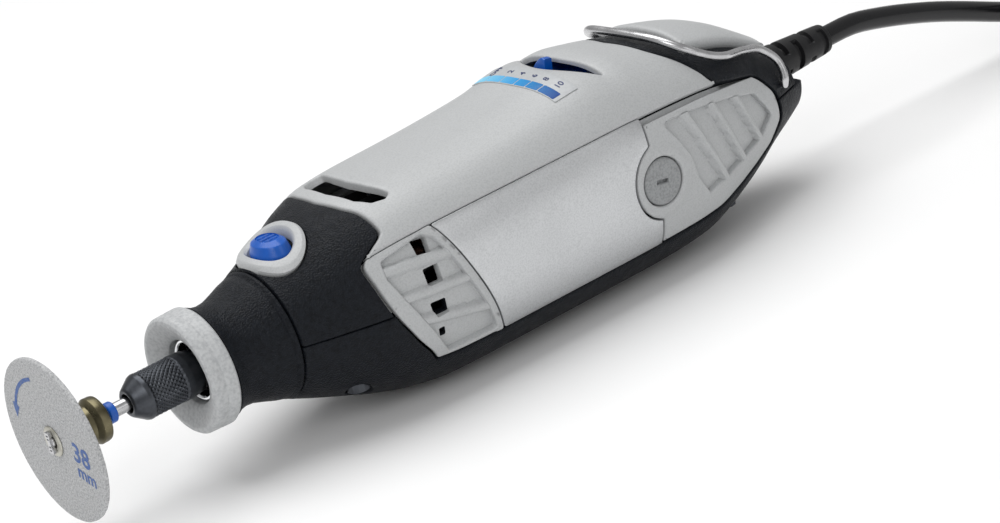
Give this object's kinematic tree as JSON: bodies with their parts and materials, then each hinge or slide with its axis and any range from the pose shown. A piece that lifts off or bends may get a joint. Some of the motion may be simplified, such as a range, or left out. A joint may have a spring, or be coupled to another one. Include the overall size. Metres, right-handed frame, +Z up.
{
  "type": "rotary hobby tool",
  "caption": "Corded handheld rotary hobby tool with a cutting disc on a quick-change arbor, knurled collet nut, shaft lock button, speed dial, vented housing and hanger bail.",
  "frame": {"origin": "on the surface that the tool's flat belly rests on, under the middle of the tool's length from the arbor's tip to the end of the strain relief", "axes": "+X along the spindle from the disc to the cord, +Y to the right side seen from behind the cord's end, +Z up"},
  "size_m": [0.4164, 0.0746, 0.0559],
  "materials": {
    "grey_plastic": "fine-grained satin, warm light grey, glass-filled",
    "soft_black": "overmoulded soft grip with a leather-like grain",
    "silver_plate": "satin silver paint",
    "blue_plastic": "semi-gloss moulded",
    "black_plastic": "moulded, lightly textured",
    "bright_steel": "ground and polished",
    "dark_nut": "dark phosphated, knurled",
    "brass_hub": "turned, lightly worn",
    "copper": "lacquered copper",
    "carbon": "pressed carbon",
    "circuit_board": "coated board",
    "cap_grey": "fine-grained, darker than the housing",
    "scale_label": "printed film",
    "abrasive": "bonded abrasive grit",
    "chrome_wire": "plated wire",
    "cord_rubber": "smooth rubber jacket",
    "core_steel": "stacked laminations"
  },
  "bodies": {
    "housing": {"upper_housing": "grey_plastic", "button_surround": "grey_plastic", "left_vent_grille": "grey_plastic", "right_vent_grille": "grey_plastic", "left_rear_grip": "grey_plastic", "right_rear_grip": "grey_plastic", "rear_cap": "grey_plastic", "lower_housing": "soft_black", "upper_front_grip": "soft_black", "rear_collar": "soft_black", "left_side_plate": "silver_plate", "right_side_plate": "silver_plate", "housing_screw_1": "bright_steel", "housing_screw_2": "bright_steel", "housing_screw_3": "bright_steel", "housing_screw_4": "bright_steel", "front_bearing": "bright_steel", "rear_bearing": "bright_steel", "left_brush_spring": "bright_steel", "right_brush_spring": "bright_steel", "lock_spring": "bright_steel", "front_boss": "black_plastic", "switch_module": "black_plastic", "strain_relief": "black_plastic", "cord_clamp": "black_plastic", "plug": "black_plastic", "left_brush_cap": "cap_grey", "right_brush_cap": "cap_grey", "left_brush_holder": "brass_hub", "right_brush_holder": "brass_hub", "stator_core": "core_steel", "upper_field_coil": "copper", "lower_field_coil": "copper", "left_carbon_brush": "carbon", "right_carbon_brush": "carbon", "speed_control_board": "circuit_board", "dial_scale": "scale_label", "power_cord": "cord_rubber", "cord_coil": "cord_rubber"},
    "nose": {"nose_cap": "soft_black", "nose_ring": "grey_plastic", "nose_bush": "bright_steel"},
    "rotor": {"output_spindle": "bright_steel", "collet": "bright_steel", "drive_coupling": "black_plastic", "armature_shaft": "bright_steel", "armature_core": "core_steel", "armature_windings": "copper", "commutator": "copper", "cooling_fan": "black_plastic"},
    "collet_nut": {"collet_nut": "dark_nut"},
    "arbor": {"arbor_shank": "bright_steel", "arbor_collar": "blue_plastic"},
    "arbor_hub": {"arbor_hub": "brass_hub"},
    "disc": {"cutting_disc": "abrasive", "disc_eyelet": "bright_steel"},
    "lock": {"lock_button": "blue_plastic", "lock_pin": "bright_steel"},
    "dial": {"speed_dial": "blue_plastic"},
    "bail": {"hanger_bail": "chrome_wire"}
  },
  "joints": [
    {"name": "nose_turn", "type": "hinge", "parent": "housing", "child": "nose", "pos_m": [-0.0681, 0, 0.0256], "axis": [-1, 0, 0], "range_deg": [0, 1440]},
    {"name": "spindle_spin", "type": "hinge", "parent": "housing", "child": "rotor", "pos_m": [0.0059, 0, 0.0256], "axis": [1, 0, 0], "continuous": true},
    {"name": "nut_turn", "type": "hinge", "parent": "rotor", "child": "collet_nut", "pos_m": [-0.0871, 0, 0.0256], "axis": [-1, 0, 0], "range_deg": [0, 360]},
    {"name": "arbor_pull", "type": "slide", "parent": "rotor", "child": "arbor", "axis": [-1, 0, 0], "range_m": [0, 0.012]},
    {"name": "hub_press", "type": "slide", "parent": "arbor", "child": "arbor_hub", "axis": [1, 0, 0], "range_m": [0, 0.0025], "stiffness_N_per_m": 1500, "springref_m": -0.002},
    {"name": "disc_turn", "type": "hinge", "parent": "arbor_hub", "child": "disc", "pos_m": [-0.1136, 0, 0.0256], "axis": [1, 0, 0], "range_deg": [0, 90]},
    {"name": "lock_press", "type": "slide", "parent": "housing", "child": "lock", "axis": [0, 0, -1], "range_m": [0, 0.003], "stiffness_N_per_m": 1200, "springref_m": -0.0015, "deforming": ["lock_spring"]},
    {"name": "dial_turn", "type": "hinge", "parent": "housing", "child": "dial", "pos_m": [0.0461, 0, 0.04842], "axis": [0.1564, 0, 0.9877], "range_deg": [0, 34]},
    {"name": "bail_swing", "type": "hinge", "parent": "housing", "child": "bail", "pos_m": [0.0889, 0, 0.0286], "axis": [0, 1, 0], "range_deg": [0, 120]}
  ]
}
